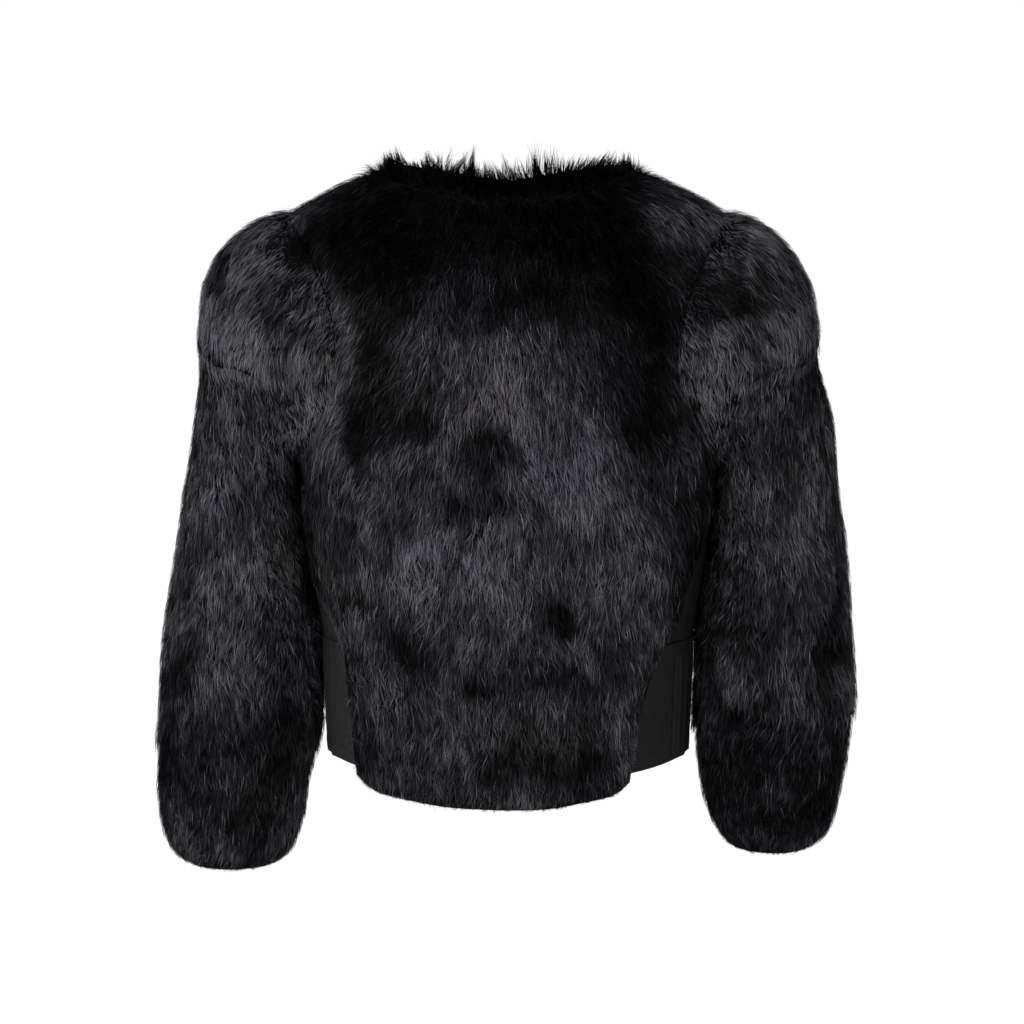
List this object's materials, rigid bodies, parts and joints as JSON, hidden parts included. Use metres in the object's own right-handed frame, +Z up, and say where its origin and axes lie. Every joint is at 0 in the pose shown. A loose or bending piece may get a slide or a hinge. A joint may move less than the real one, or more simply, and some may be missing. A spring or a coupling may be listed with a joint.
{
  "type": "faux fur jacket",
  "caption": "Short, boxy jacket of black faux fur with full-length sleeves and plain cloth panels under the arms, filled out as if worn.",
  "frame": {"origin": "middle of the neck opening, level with the neck points of the shoulder seams, where the wearer's neck and shoulders hold it", "axes": "+Z up the wearer, -Y out of the wearer's back, +Y out of the chest, -X to the wearer's left"},
  "size_m": [0.6806, 0.2692, 0.6807],
  "materials": {
    "fur": "long pile, soft sheen",
    "cloth": "matt woven"
  },
  "bodies": {
    "root": {"back": "fur", "front_left": "fur", "front_right": "fur", "sleeve_cap_left": "fur", "sleeve_cap_right": "fur", "sleeve_left": "fur", "sleeve_right": "fur", "cuff_left": "fur", "cuff_right": "fur", "side_upper_left": "cloth", "side_upper_right": "cloth", "side_lower_left": "cloth", "side_lower_right": "cloth"}
  },
  "joints": []
}
